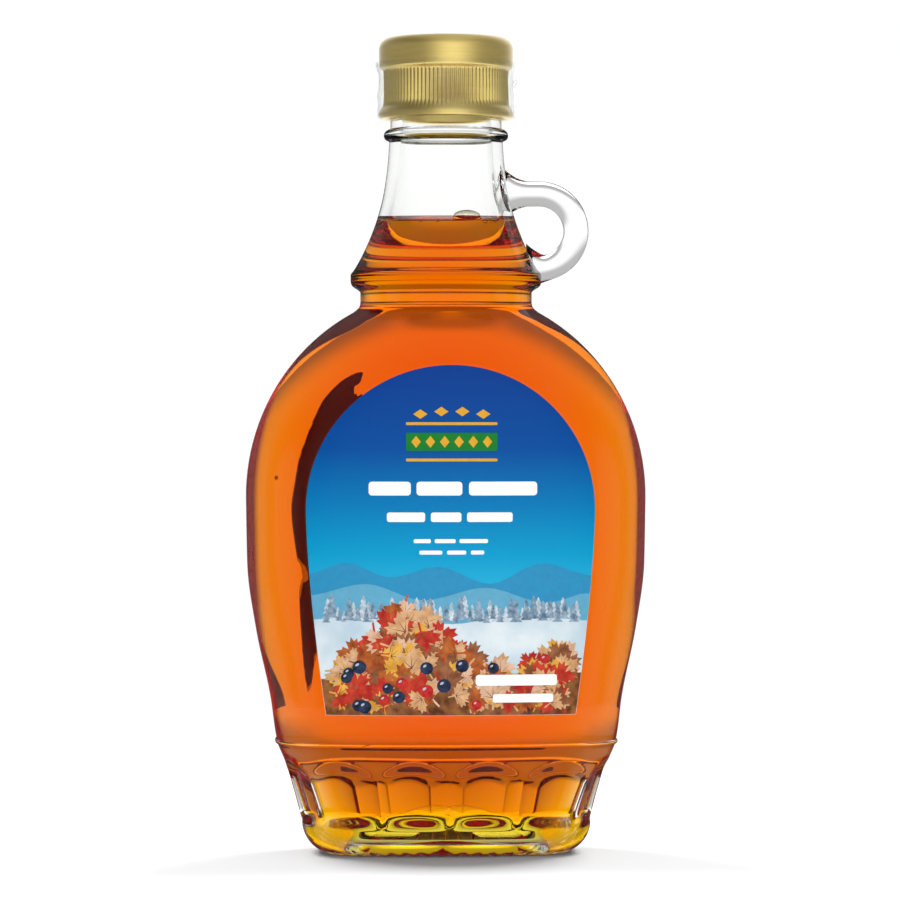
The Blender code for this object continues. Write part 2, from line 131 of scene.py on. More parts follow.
def smooth_step(value, start, end):
    """Go from 0 at start to 1 at end without a corner."""
    t = min(1.0, max(0.0, (value - start) / (end - start)))
    return t * t * (3.0 - 2.0 * t)


def soft_min(first, second, softness):
    """The smaller of two sizes, with the corner between them rounded."""
    mix = max(softness - abs(first - second), 0.0) / softness
    return min(first, second) - mix * mix * softness * 0.25


def half_width(height):
    """Half width of the glass, without the bead of the neck."""
    if height >= SHOULDER_HEIGHT:
        return smooth(NECK_RADII, height)
    if height > WAIST_HEIGHT:
        rise = (height - WAIST_HEIGHT) / TOP_RISE
        return BODY_HALF_WIDTH * math.sqrt(1.0 - rise * rise)
    return smooth(HALF_WIDTHS, height)


def half_depth(height):
    """Half depth of the glass before the label panels are taken off."""
    if height >= SHOULDER_HEIGHT:
        return smooth(NECK_RADII, height)
    return smooth(HALF_DEPTHS, height)


def panel_depth(height):
    """Distance of a label panel from the middle; the round neck has none."""
    if height > SHOULDER_HEIGHT:
        return 2.0 * BODY_HALF_WIDTH
    return smooth(PANEL_DEPTHS, height)


def wall_inside(outside, height):
    """Bring a half size in by the wall, measured square to the surface."""
    wall = smooth(WALLS, height)
    steps = [wall * i / 8.0 for i in range(-8, 9)]
    return min(outside(height + step) - math.sqrt(wall * wall - step * step) for step in steps)


def superellipse(angle, half_w, half_d, square):
    """A point of the rounded plan shape of the flask."""
    c, s = math.cos(angle), math.sin(angle)
    x = half_w * math.copysign(abs(c) ** (2.0 / square), c)
    y = half_d * math.copysign(abs(s) ** (2.0 / square), s)
    return x, y


def turns_round(count):
    """Angles that lie evenly round a circle."""
    return [2.0 * math.pi * k / count for k in range(count)]


def lengths_along(points):
    """How far each point of a line lies from the first, measured along the line."""
    lengths = [0.0]
    for a, b in zip(points, points[1:]):
        lengths.append(lengths[-1] + math.dist(a, b))
    return lengths


def even_angles(count):
    """Angles that lie evenly along the ridge's outline, the first at the handle's side."""
    square = SQUARENESS[0][1]
    half_w, half_d = half_width(RIDGE_HEIGHT), half_depth(RIDGE_HEIGHT)
    angles = turns_round(SAMPLES_ROUND) + [2.0 * math.pi]
    points = [superellipse(angle, half_w, half_d, square) for angle in angles]
    lengths = lengths_along(points)
    found, index = [], 0
    for k in range(count):
        target = lengths[-1] * k / count
        while lengths[index + 1] < target:
            index += 1
        part = (target - lengths[index]) / (lengths[index + 1] - lengths[index])
        found.append(angles[index] + part * (angles[index + 1] - angles[index]))
    return found


SIDE_ANGLES = even_angles(SIDE_POINTS)


def section(half_w, half_d, square, panel, height):
    """One level ring of points, flattened at the front and back by the label panels."""
    ring = []
    for angle in SIDE_ANGLES:
        x, y = superellipse(angle, half_w, half_d, square)
        limit = panel - x * x / (2.0 * PANEL_RADIUS)
        ring.append((x, math.copysign(soft_min(abs(y), limit, PANEL_BLEND), y), height))
    return ring


def outer_ring(height, proud=0.0):
    """Ring of the outer glass, with what stands proud of it."""
    half_w, half_d = half_width(height) + proud, half_depth(height) + proud
    return section(half_w, half_d, smooth(SQUARENESS, height), panel_depth(height) + proud, height)


def inner_ring(height, clear=0.0):
    """Ring of the inside of the glass, brought in by a clear space, or let into the wall."""
    half_w = wall_inside(half_width, height)
    half_d = wall_inside(half_depth, height)
    panel = wall_inside(panel_depth, height)
    if height < FLOOR_HEIGHT + FLOOR_CORNER:
        up = FLOOR_HEIGHT + FLOOR_CORNER - height
        round_in = FLOOR_CORNER - math.sqrt(max(FLOOR_CORNER ** 2 - up * up, 0.0))
        half_w, half_d, panel = half_w - round_in, half_d - round_in, panel - round_in
    square = smooth(SQUARENESS, height)
    return section(half_w - clear, half_d - clear, square, panel - clear, height)


def fluted(ring, height):
    """Press the flutes into a ring of the foot, square to its outline."""
    count = len(ring)
    pressed = []
    for k, (x, y, z) in enumerate(ring):
        before, after = ring[k - 1], ring[(k + 1) % count]
        normal = Vector((after[1] - before[1], before[0] - after[0])).normalized()
        across = (k * FLUTES / count) % 1.0
        top = FLUTE_TOP - FLUTE_ARCH_DROP * (2.0 * across - 1.0) ** 2
        along = smooth_step(height, FLUTE_BOTTOM, FLUTE_BOTTOM + FLUTE_BOTTOM_RAMP)
        along *= 1.0 - smooth_step(height, top - FLUTE_TOP_RAMP, top)
        depth = FLUTE_DEPTH * math.sin(math.pi * across) ** 0.7 * along
        pressed.append((x - normal.x * depth, y - normal.y * depth, z))
    return pressed


def knurled(ring):
    """Lift the fine notches of the bearing ring into the lowest part of the foot."""
    lifted = []
    for k, (x, y, z) in enumerate(ring):
        notch = max(0.0, math.cos(2.0 * math.pi * k * KNURLS / len(ring)))
        fade = 1.0 - smooth_step(z, 0.0, KNURL_TOP)
        lifted.append((x, y, z + KNURL_DEPTH * notch * fade))
    return lifted


def heights_between(start, *spans):
    """Heights after a start, evenly spaced over each span; a span is its end and about its step."""
    heights = []
    for end, step in spans:
        count = max(1, round((end - start) / step))
        heights += [start + (end - start) * (i + 1) / count for i in range(count)]
        start = end
    return heights


def foot_rings():
    """Rings under the foot, out over the knurled bearing ring and round its corner."""
    hollow = outer_ring(FOOT_CORNER, proud=-FOOT_CORNER - BEARING_WIDTH)
    rings = []
    for share in (0.15, 0.3, 0.45, 0.6, 0.75, 0.88, 0.96, 1.0):
        rise = PUSH_UP * (1.0 - share * share)
        rings.append([(x * share, y * share, rise) for x, y, z in hollow])
    for out in (0.5, 0.8, 1.5, 2.0, 2.6):
        flat = outer_ring(FOOT_CORNER, proud=-FOOT_CORNER - BEARING_WIDTH + out)
        ring = [(x, y, 0.0) for x, y, z in flat]
        rings.append(knurled(ring) if 0.6 < out else ring)
    for step in range(1, 18):
        turn = math.radians(90.0 * step / 18.0)
        up = FOOT_CORNER * (1.0 - math.cos(turn))
        out = FOOT_CORNER * (1.0 - math.sin(turn))
        corner = [(x, y, up) for x, y, z in outer_ring(FOOT_CORNER, proud=-out)]
        rings.append(knurled(fluted(corner, up)))
    return rings


def outer_rings():
    """All rings of the outside, from the hollow under the foot to the lip."""
    rings = foot_rings()
    heights = [FOOT_CORNER] + heights_between(FOOT_CORNER, (23.2, 0.55))
    rings += [fluted(outer_ring(height), height) for height in heights]
    for step in range(7):
        across = step / 3.0 - 1.0
        proud = RIDGE_PROUD * (1.0 - across * across)
        rings.append(outer_ring(RIDGE_HEIGHT + 0.55 * across, proud=proud))
    heights = heights_between(24.8, (34.0, 0.9), (100.0, 2.0), (114.0, 1.0), (130.0, 0.35), (152.6, 1.2))
    rings += [outer_ring(height) for height in heights]
    for step in range(1, 12):
        turn = math.pi * step / 12.0
        height = BEAD_HEIGHT - BEAD_HALF_THICKNESS * math.cos(turn)
        rings.append(outer_ring(height, proud=BEAD_PROUD * math.sin(turn)))
    rings += [outer_ring(height) for height in (155.35, 158.0, 165.0, LIP_HEIGHT - LIP_ROUND)]
    for turn in (30.0, 60.0, 90.0):
        inset = LIP_ROUND * (1.0 - math.cos(math.radians(turn)))
        height = LIP_HEIGHT - LIP_ROUND * (1.0 - math.sin(math.radians(turn)))
        rings.append([(x, y, height) for x, y, z in outer_ring(LIP_HEIGHT, proud=-inset)])
    return rings


def floor_rings(clear=0.0):
    """Rings of the inside floor, from near its middle to the top of its round corner."""
    base = inner_ring(FLOOR_HEIGHT, clear)
    rings = []
    for share in (0.08, 0.17, 0.27, 0.37, 0.47, 0.57, 0.67, 0.77, 0.86, 0.94, 1.0):
        rise = FLOOR_CROWN * (1.0 - share * share) ** 1.3 + clear
        rings.append([(x * share, y * share, z + rise) for x, y, z in base])
    for step in range(1, 16):
        height = FLOOR_HEIGHT + FLOOR_CORNER * (1.0 - math.cos(math.radians(90.0 * step / 16.0)))
        rings.append([(x, y, z + clear) for x, y, z in inner_ring(height, clear)])
    return rings


def inside_heights(top):
    """Heights of the inner rings between the floor's corner and a top."""
    start = FLOOR_HEIGHT + FLOOR_CORNER
    spans = ((34.0, 1.2), (100.0, 3.0), (114.0, 1.4), (130.0, 0.5), (LIP_HEIGHT - 1.0, 2.0))
    heights = [start] + heights_between(start, *spans)
    return [height for height in heights if height < top - 0.4]


def skin(mesh, levels):
    """Join each closed row of points to the next one."""
    count = len(levels[0])
    for low, high in zip(levels, levels[1:]):
        for k in range(count):
            after = (k + 1) % count
            mesh.faces.new((low[k], low[after], high[after], high[k]))


def loft(mesh, rings, crown_start, crown_end):
    """Skin a stack of rings and close both ends with a fan to a middle point."""
    levels = [[mesh.verts.new(Vector(point) * MM) for point in ring] for ring in rings]
    skin(mesh, levels)
    count = len(levels[0])
    for ring, crown, turned_over in ((levels[0], crown_start, True), (levels[-1], crown_end, False)):
        middle = mesh.verts.new(Vector(crown) * MM)
        for k in range(count):
            corners = (ring[k], ring[(k + 1) % count], middle)
            mesh.faces.new(corners[::-1] if turned_over else corners)


def smooth_shading(data, sharp_degrees):
    """Shade a mesh smooth but for its sharp edges."""
    data.shade_smooth()
    data.set_sharp_from_angle(angle=math.radians(sharp_degrees))


def piece_of(name, mesh, material):
    """Make the object of a mesh."""
    data = bpy.data.meshes.new(name)
    mesh.to_mesh(data)
    mesh.free()
    data.materials.append(material)
    piece = bpy.data.objects.new(name, data)
    bpy.context.scene.collection.objects.link(piece)
    return piece


def finished_piece(name, mesh, material, sharp_degrees=40.0, turn_out=True):
    """Make the object of a mesh, with its faces turned out and its round parts smooth."""
    if turn_out:
        bmesh.ops.recalc_face_normals(mesh, faces=mesh.faces)
    piece = piece_of(name, mesh, material)
    smooth_shading(piece.data, sharp_degrees)
    return piece


def feed(tree, node, inputs):
    """Set the inputs of a node, or link them where the output of another node is given."""
    for key, value in inputs.items():
        if isinstance(value, bpy.types.NodeSocket):
            tree.links.new(value, node.inputs[key])
        else:
            node.inputs[key].default_value = value


def node_of(tree, kind, inputs=None, **settings):
    """Add a node with its plain settings and its inputs."""
    node = tree.nodes.new(kind)
    for key, value in settings.items():
        setattr(node, key, value)
    feed(tree, node, inputs or {})
    return node


def new_material(name, inputs):
    """A material of one shader with the given inputs, along with its tree of nodes and the shader."""
    material = bpy.data.materials.new(name)
    material.use_nodes = True
    tree = material.node_tree
    shader = tree.nodes["Principled BSDF"]
    feed(tree, shader, inputs)
    return material, tree, shader


def add_bump(tree, shader, scale, strength, distance, stretch=(1.0, 1.0, 1.0), detail=3.0):
    """Give a surface a fine unevenness from noise laid out in the piece's own space."""
    place = node_of(tree, "ShaderNodeTexCoord").outputs["Object"]
    mapping = node_of(tree, "ShaderNodeMapping", {"Vector": place, "Scale": stretch}).outputs["Vector"]
    noise = node_of(tree, "ShaderNodeTexNoise", {"Vector": mapping, "Scale": scale, "Detail": detail})
    height = noise.outputs["Fac"]
    bump = node_of(tree, "ShaderNodeBump", {"Height": height, "Strength": strength, "Distance": distance})
    feed(tree, shader, {"Normal": bump.outputs["Normal"]})
    return height


def flask_glass():
    """Clear glass with the slow waves that a mould leaves in its surface."""
    material, tree, shader = new_material("flask glass", {
        "Base Color": (0.985, 0.995, 0.985, 1.0), "Roughness": 0.0, "IOR": 1.52,
        "Transmission Weight": 1.0, "Specular Tint": (0.3, 0.3, 0.3, 1.0),
    })
    add_bump(tree, shader, 55.0, 0.07, 0.0006, stretch=(1.0, 1.0, 0.6), detail=1.0)
    return material


HANDLE_CENTRE_X = 20.0
HANDLE_CENTRE_HEIGHT = 133.5
HANDLE_RING_RADIUS = 8.0
HANDLE_ROD_RADIUS = 2.7
HANDLE_FLARE = 2.6
HANDLE_FLARE_LENGTH = 5.5
HANDLE_TOP_ROOT_X = 12.6
HANDLE_FOOT_ROOT_X = 17.3
HANDLE_SIDES = 48


def handle_path():
    """Middle line of the loop handle, from the neck round to the collar."""
    top = HANDLE_CENTRE_HEIGHT + HANDLE_RING_RADIUS
    foot = HANDLE_CENTRE_HEIGHT - HANDLE_RING_RADIUS
    reach = HANDLE_CENTRE_X - HANDLE_TOP_ROOT_X
    path = [(HANDLE_TOP_ROOT_X + reach * step / 20.0, top) for step in range(20)]
    for step in range(61):
        turn = math.radians(90.0 - 180.0 * step / 60.0)
        x = HANDLE_CENTRE_X + HANDLE_RING_RADIUS * math.cos(turn)
        path.append((x, HANDLE_CENTRE_HEIGHT + HANDLE_RING_RADIUS * math.sin(turn)))
    reach = HANDLE_CENTRE_X - HANDLE_FOOT_ROOT_X
    path += [(HANDLE_CENTRE_X - reach * step / 8.0, foot) for step in range(1, 9)]
    return path


def handle_rod(material):
    """The loop handle as a round rod that widens where it joins the glass."""
    path = handle_path()
    lengths = lengths_along(path)
    side = Vector((0.0, 1.0, 0.0))
    rings = []
    for i, (x, z) in enumerate(path):
        before, after = path[max(i - 1, 0)], path[min(i + 1, len(path) - 1)]
        along = Vector((after[0] - before[0], 0.0, after[1] - before[1])).normalized()
        up = along.cross(side)
        to_end = min(lengths[i], lengths[-1] - lengths[i])
        flare = HANDLE_FLARE * max(0.0, 1.0 - to_end / HANDLE_FLARE_LENGTH) ** 2
        ring = []
        for turn in turns_round(HANDLE_SIDES):
            spread = (HANDLE_ROD_RADIUS + flare) * math.cos(turn)
            ring.append(Vector((x, 0.0, z)) + up * spread + side * HANDLE_ROD_RADIUS * math.sin(turn))
        rings.append(ring)
    mesh = bmesh.new()
    ends = [(path[0][0], 0.0, path[0][1]), (path[-1][0], 0.0, path[-1][1])]
    loft(mesh, rings, ends[0], ends[1])
    return finished_piece("handle_rod", mesh, material)


def press_on(body, part):
    """Fuse one closed piece into another, as hot glass does, and drop the loose one."""
    union = body.modifiers.new("pressed on", "BOOLEAN")
    union.operation = "UNION"
    union.solver = "MANIFOLD"
    union.object = part
    fused = bpy.data.meshes.new_from_object(body.evaluated_get(bpy.context.evaluated_depsgraph_get()))
    body.modifiers.remove(union)
    body.data = fused
    bpy.data.objects.remove(part)


def blow_flask():
    """The whole glass body as one closed mesh, open at the mouth."""
    glass = flask_glass()
    rings = outer_rings()
    for share in (0.25, 0.6, 1.0):
        sink = LIP_ROUND * (1.0 - math.cos(math.radians(90.0 * share)))
        mouth = inner_ring(LIP_HEIGHT, clear=-0.5 * (1.0 - share))
        rings.append([(x, y, LIP_HEIGHT - sink) for x, y, z in mouth])
    rings += [inner_ring(height) for height in reversed(inside_heights(LIP_HEIGHT - 1.0))]
    rings += list(reversed(floor_rings()))
    mesh = bmesh.new()
    loft(mesh, rings, (0.0, 0.0, PUSH_UP), (0.0, 0.0, FLOOR_HEIGHT + FLOOR_CROWN))
    flask = finished_piece("flask_glass", mesh, glass)
    press_on(flask, handle_rod(glass))
    smooth_shading(flask.data, 50.0)
    return flask


flask = blow_flask()
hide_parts("bottle")
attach(flask, "root")

# Maple syrup. A clear amber liquid that fills the flask to the neck. It wets the glass, so it climbs a
# little round the wall, and a large bubble with a few small ones has stayed under its surface.

SYRUP_LEVEL = 134.7
INTO_WALL = 0.05
MENISCUS_RISE = 1.3
MENISCUS_REACH = 0.12
BUBBLE_PLACE = (3.7, -9.0, 135.85)
BUBBLE_SIZE = (2.6, 1.85, 1.25)
BUBBLE_SKIN = (2.75, 1.97, 1.45)
SMALL_BUBBLES = (
    (6.9, -7.6, 0.2, 0.45), (7.9, -6.6, 0.1, 0.3), (8.6, -6.0, 0.3, 0.38), (-5.2, -8.8, 0.3, 0.3),
    (-7.4, -7.2, 0.2, 0.25), (-2.1, -9.9, 0.3, 0.28),
)
SEED_BUBBLE = (-35.6, -11.2, 80.6, 0.42)


def syrup_colour():
    """Amber syrup: near clear to red light, less so to green, and dark to blue."""
    material, tree, shader = new_material("amber syrup", {
        "Base Color": (1.0, 1.0, 1.0, 1.0), "Roughness": 0.0, "IOR": 1.46,
        "Transmission Weight": 1.0, "Specular Tint": (0.0, 0.0, 0.0, 1.0),
    })
    amber = {"Color": (0.993, 0.905, 0.0, 1.0), "Density": 600.0}
    depth = node_of(tree, "ShaderNodeVolumeAbsorption", amber)
    feed(tree, tree.nodes["Material Output"], {"Volume": depth.outputs["Volume"]})
    return material


def surface_height(x, y, wall_radius):
    """Height of the syrup's surface, with the climb at the wall and the skin over the bubble."""
    to_wall = max(0.0, wall_radius - math.hypot(x, y))
    climb = SYRUP_LEVEL + MENISCUS_RISE * math.exp(-to_wall / MENISCUS_REACH)
    along = (x - BUBBLE_PLACE[0]) / BUBBLE_SKIN[0]
    inward = (y - BUBBLE_PLACE[1]) / BUBBLE_SKIN[1]
    inside = max(1.0 - along * along - inward * inward, 0.0)
    skin = BUBBLE_PLACE[2] + BUBBLE_SKIN[2] * math.sqrt(inside) if inside > 0.0 else 0.0
    return max(climb, skin)


def surface_rings():
    """Rings of the syrup's surface, from the wall to near the middle."""
    radius = wall_inside(half_width, SYRUP_LEVEL) + INTO_WALL
    rings = []
    insets = [0.0, 0.05, 0.08, 0.12, 0.17, 0.23, 0.31, 0.42, 0.6, 0.8] + [1.1 + 0.3 * i for i in range(12)]
    for inset in insets + [4.8, 5.4, 6.4, 7.8, 9.4]:
        ring = []
        for angle in SIDE_ANGLES:
            reach = radius
            height = surface_height(reach * math.cos(angle), reach * math.sin(angle), radius)
            reach = wall_inside(half_width, height) + INTO_WALL - inset
            x, y = reach * math.cos(angle), reach * math.sin(angle)
            ring.append((x, y, surface_height(x, y, reach + inset)))
        rings.append(ring)
    return rings


def add_bubble(mesh, place, size):
    """A hollow in the syrup: a ball whose faces look inward."""
    ball = bmesh.ops.create_icosphere(mesh, subdivisions=4, radius=1.0)
    for vert in ball["verts"]:
        vert.co = Vector((place[i] + vert.co[i] * size[i] for i in range(3))) * MM
    faces = {face for vert in ball["verts"] for face in vert.link_faces}
    bmesh.ops.reverse_faces(mesh, faces=list(faces))


def fill_syrup():
    """The syrup, let a hair into the glass so that no air shows between them."""
    rings = floor_rings(-INTO_WALL)
    rings += [inner_ring(height, -INTO_WALL) for height in inside_heights(SYRUP_LEVEL)]
    rings += surface_rings()
    mesh = bmesh.new()
    loft(mesh, rings, (0.0, 0.0, FLOOR_HEIGHT + FLOOR_CROWN - INTO_WALL), (0.0, 0.0, SYRUP_LEVEL))
    bmesh.ops.recalc_face_normals(mesh, faces=mesh.faces)
    add_bubble(mesh, BUBBLE_PLACE, BUBBLE_SIZE)
    for x, y, up, radius in SMALL_BUBBLES:
        add_bubble(mesh, (x, y, SYRUP_LEVEL + up - 0.4), (radius,) * 3)
    x, y, z, radius = SEED_BUBBLE
    add_bubble(mesh, (x, y, z), (radius,) * 3)
    return finished_piece("syrup_fill", mesh, syrup_colour(), sharp_degrees=50.0, turn_out=False)


syrup = fill_syrup()
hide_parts("syrup")
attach(syrup, "root")

# Screw cap. Drawn from thin aluminium sheet and lacquered gold: a rounded top with a smooth band, a
# narrower grip with fine upright ribs rolled into it, and a flared skirt with a curled edge.

CAP_TOP = 174.9
CAP_ROUND = 2.6
CAP_BAND_RADIUS = 14.4
CAP_BAND_BOTTOM = 168.1
CAP_GRIP_RADIUS = 13.4
CAP_GRIP_BOTTOM = 159.8
CAP_SKIRT_RADIUS = 14.5
CAP_BOTTOM = 157.4
CAP_INSIDE_RADIUS = 12.5
CAP_INSIDE_TOP = 173.6
GRIP_RIBS = 94
RIB_DEPTH = 0.32
CAP_SIDE_POINTS = GRIP_RIBS * 6
CAP_STEPS = (
    (CAP_BAND_RADIUS, CAP_BAND_BOTTOM, ((0.0, 0.9, 0.0), (-0.08, 0.45, 0.0), (-0.35, 0.15, 0.0))),
    (CAP_GRIP_RADIUS, CAP_BAND_BOTTOM, ((0.25, -0.1, 0.0), (0.04, -0.35, 0.25), (0.0, -0.8, 1.0))),
    (CAP_GRIP_RADIUS, CAP_GRIP_BOTTOM, ((0.0, 1.5, 1.0), (0.06, 0.9, 0.9), (0.22, 0.4, 0.5))),
    (CAP_GRIP_RADIUS, CAP_GRIP_BOTTOM, ((0.5, -0.05, 0.1), (0.78, -0.45, 0.0))),
    (CAP_SKIRT_RADIUS, CAP_GRIP_BOTTOM, ((-0.14, -0.85, 0.0), (0.0, -1.2, 0.0))),
    (CAP_SKIRT_RADIUS, CAP_BOTTOM, ((0.0, 0.9, 0.0), (-0.06, 0.5, 0.0))),
    (CAP_SKIRT_RADIUS, CAP_BOTTOM, ((-0.3, 0.12, 0.0), (-0.65, 0.0, 0.0))),
    (CAP_INSIDE_RADIUS, CAP_BOTTOM, ((0.3, 0.1, 0.0), (0.0, 0.5, 0.0))),
    (CAP_INSIDE_RADIUS, CAP_INSIDE_TOP, ((0.0, 0.0, 0.0),)),
)


def colour_ramp(tree, shader, source, stops):
    """Colour a surface by a source that runs along stops; a stop is its position and its colour."""
    ramp = node_of(tree, "ShaderNodeValToRGB", {"Fac": source})
    elements = ramp.color_ramp.elements
    for element, (position, colour) in zip(elements, (stops[0], stops[-1])):
        element.position = position
        element.color = (*colour, 1.0)
    for position, colour in stops[1:-1]:
        elements.new(position).color = (*colour, 1.0)
    feed(tree, shader, {"Base Color": ramp.outputs["Color"]})


def gold_lacquer():
    """Satin gold lacquer on metal, with a faint drawn grain round the cap."""
    material, tree, shader = new_material("gold lacquer", {
        "Metallic": 1.0, "Roughness": 0.34,
        "Coat Weight": 1.0, "Coat IOR": 1.8, "Coat Roughness": 0.3,
    })
    grain = add_bump(tree, shader, 900.0, 0.08, 0.00005, stretch=(0.15, 0.15, 3.0), detail=4.0)
    colour_ramp(tree, shader, grain, ((0.35, (0.80, 0.59, 0.13)), (0.65, (0.86, 0.65, 0.16))))
    return material


def cap_profile():
    """Radius, height and rib depth of the cap, from its top middle down the outside and up the inside.
    The steps go out and up from a radius and a height."""
    profile = [(radius, CAP_TOP, 0.0) for radius in (4.0, 8.0, 10.6, CAP_BAND_RADIUS - CAP_ROUND)]
    for step in range(1, 10):
        turn = math.radians(10.0 * step)
        radius = CAP_BAND_RADIUS - CAP_ROUND * (1.0 - math.sin(turn))
        profile.append((radius, CAP_TOP - CAP_ROUND * (1.0 - math.cos(turn)), 0.0))
    for radius, height, steps in CAP_STEPS:
        profile += [(radius + out, height + up, ribbed) for out, up, ribbed in steps]
    return profile


def press_cap():
    """The cap as one closed mesh turned from its profile, with the ribs of its grip."""
    rings = []
    for radius, height, ribbed in cap_profile():
        ring = []
        for turn in turns_round(CAP_SIDE_POINTS):
            wave = 0.5 - 0.5 * math.cos(turn * GRIP_RIBS)
            reach = radius - RIB_DEPTH * ribbed * wave
            ring.append((reach * math.cos(turn), reach * math.sin(turn), height))
        rings.append(ring)
    mesh = bmesh.new()
    loft(mesh, rings, (0.0, 0.0, CAP_TOP), (0.0, 0.0, CAP_INSIDE_TOP))
    return finished_piece("gold_cap", mesh, gold_lacquer(), sharp_degrees=50.0)


cap = press_cap()
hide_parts("cap")
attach(cap, "root")

# Film sleeve. A tube of clear film shrunk over the grip and skirt of the cap as a seal. It bridges the
# grip, wrinkles a little where it was drawn in, and its torn perforations stand out at both sides.

SLEEVE_TOP = 169.6
SLEEVE_BOTTOM = 157.8
SLEEVE_OUTSIDE = 14.95
SLEEVE_SIDES = 240
FILM_THICKNESS = 0.06
FILM_SNAGS = (
    (180.0, 169.1, 0.55), (176.0, 168.6, 0.4), (0.0, 165.4, 0.6), (2.0, 164.8, 0.4), (-1.0, 160.2, 0.3),
)


def clear_film():
    """Thin clear film that mostly shows by its highlights."""
    material, tree, shader = new_material("clear film", {
        "Base Color": (0.97, 0.98, 0.97, 1.0), "Roughness": 0.04, "IOR": 1.3, "Transmission Weight": 1.0,
    })
    add_bump(tree, shader, 260.0, 0.35, 0.0003, stretch=(1.0, 1.0, 0.35), detail=2.0)
    return material


def add_snag(mesh, degrees, height, size):
    """A small lump where the film was torn at a perforation."""
    turn = math.radians(degrees)
    snag = bmesh.ops.create_icosphere(mesh, subdivisions=3, radius=1.0)
    for vert in snag["verts"]:
        x, y, z = vert.co
        lumpy = size * (1.0 + 0.3 * math.sin(5.0 * z + 3.0 * x))
        reach = SLEEVE_OUTSIDE + lumpy * (0.5 * x + 0.3 * z)
        across = 0.4 * lumpy * y
        vert.co = Vector((reach * math.cos(turn) - across * math.sin(turn),
                          reach * math.sin(turn) + across * math.cos(turn), height + lumpy * z)) * MM


def shrink_sleeve():
    """The sleeve as a thin closed tube with slow wrinkles and its snags."""
    heights = [SLEEVE_BOTTOM] + heights_between(SLEEVE_BOTTOM, (SLEEVE_TOP, 0.4))
    outside, inside = [], []
    for height in heights:
        draw_in = 0.28 * (1.0 - smooth_step(height, 161.2, 163.0)) * smooth_step(height, 159.0, 160.6)
        draw_in += 0.5 * smooth_step(height, 162.0, 164.0) * (1.0 - smooth_step(height, 166.5, 168.8))
        outer, inner = [], []
        for turn in turns_round(SLEEVE_SIDES):
            wrinkle = 0.05 * math.sin(turn * 23.0 + height * 0.9) * math.sin(turn * 7.0 + 1.3)
            radius = SLEEVE_OUTSIDE - 0.1 - draw_in * 0.6 + wrinkle
            for ring, reach in ((outer, radius), (inner, radius - FILM_THICKNESS)):
                ring.append((reach * math.cos(turn), reach * math.sin(turn), height))
        outside.append(outer)
        inside.append(inner)
    mesh = bmesh.new()
    levels = [[mesh.verts.new(Vector(point) * MM) for point in ring] for ring in outside + inside[::-1]]
    skin(mesh, levels + levels[:1])
    for degrees, height, size in FILM_SNAGS:
        add_snag(mesh, degrees, height, size)
    return finished_piece("film_sleeve", mesh, clear_film())


sleeve = shrink_sleeve()
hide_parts("shrink_band")
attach(sleeve, "root")

# Labels. Semi-gloss paper, one on the front panel and one on the back, each with a round arched top and
# sides that taper down, glued straight to the glass with its white side in. The print is laid on top as
# thin shapes of ink, one over the other in the order they were printed.

FRONT_ARCH = 30.5
FRONT_SHAPE = (30.5, 4.2, FRONT_ARCH)
BACK_HALF_WIDTH = 24.0
BACK_ARCH = 28.0
BACK_SHAPE = (BACK_HALF_WIDTH, 4.6, BACK_ARCH)
LABEL_CENTRE_HEIGHT = 74.0
LABEL_BOTTOM = 31.0
LABEL_GLUE = 0.03
LABEL_THICKNESS = 0.1
LABEL_COLUMNS = 120
FRONT = -1.0
BACK = 1.0


def label_half_width(height, widest, taper, arch):
    """Half width of a label: an arch on sides that taper down. A label's shape is the last three."""
    rise = height - LABEL_CENTRE_HEIGHT
    if rise > 0.0:
        return widest * math.sqrt(max(1.0 - (rise / arch) ** 2, 0.0))
    return widest - taper * (-rise / (LABEL_CENTRE_HEIGHT - LABEL_BOTTOM)) ** 1.5


def on_panel(x, height, side, lift):
    """A point on the glass of the front or the back panel, lifted off it."""
    square = smooth(SQUARENESS, height)
    across = min(abs(x) / half_width(height), 1.0)
    body = half_depth(height) * (1.0 - across ** square) ** (1.0 / square)
    panel = panel_depth(height) - x * x / (2.0 * PANEL_RADIUS)
    return Vector((x, side * (soft_min(body, panel, PANEL_BLEND) + lift), height)) * MM


def cut_label(name, side, shape, material):
    """A label as a thin closed sheet bowed over its panel."""
    heights = [LABEL_BOTTOM + (LABEL_CENTRE_HEIGHT - LABEL_BOTTOM) * i / 30.0 for i in range(31)]
    for step in range(1, 45):
        heights.append(LABEL_CENTRE_HEIGHT + shape[2] * math.sin(math.radians(2.0 * step)))
    mesh = bmesh.new()
    sheets = []
    for lift in (LABEL_GLUE, LABEL_GLUE + LABEL_THICKNESS):
        sheet = []
        for height in heights:
            reach = label_half_width(height, *shape)
            across = [reach * (2.0 * k / LABEL_COLUMNS - 1.0) for k in range(LABEL_COLUMNS + 1)]
            sheet.append([mesh.verts.new(on_panel(x, height, side, lift)) for x in across])
        sheets.append(sheet)
    for sheet, material_slot in zip(sheets, (1, 0)):
        for low, high in zip(sheet, sheet[1:]):
            for k in range(LABEL_COLUMNS):
                face = mesh.faces.new((low[k], low[k + 1], high[k + 1], high[k]))
                face.material_index = material_slot
    rims = []
    for sheet in sheets:
        right = [row[-1] for row in sheet[1:-1]]
        left = [row[0] for row in sheet[1:-1]]
        rims.append(sheet[0] + right + sheet[-1][::-1] + left[::-1])
    skin(mesh, rims)
    piece = finished_piece(name, mesh, material)
    piece.data.materials.append(bpy.data.materials.get("glued side") or glued_paper())
    return piece


PAPER_GRAIN = (1500.0, 0.1, 0.00003)
GLUED_GRAIN = (900.0, 0.2, 0.00005)


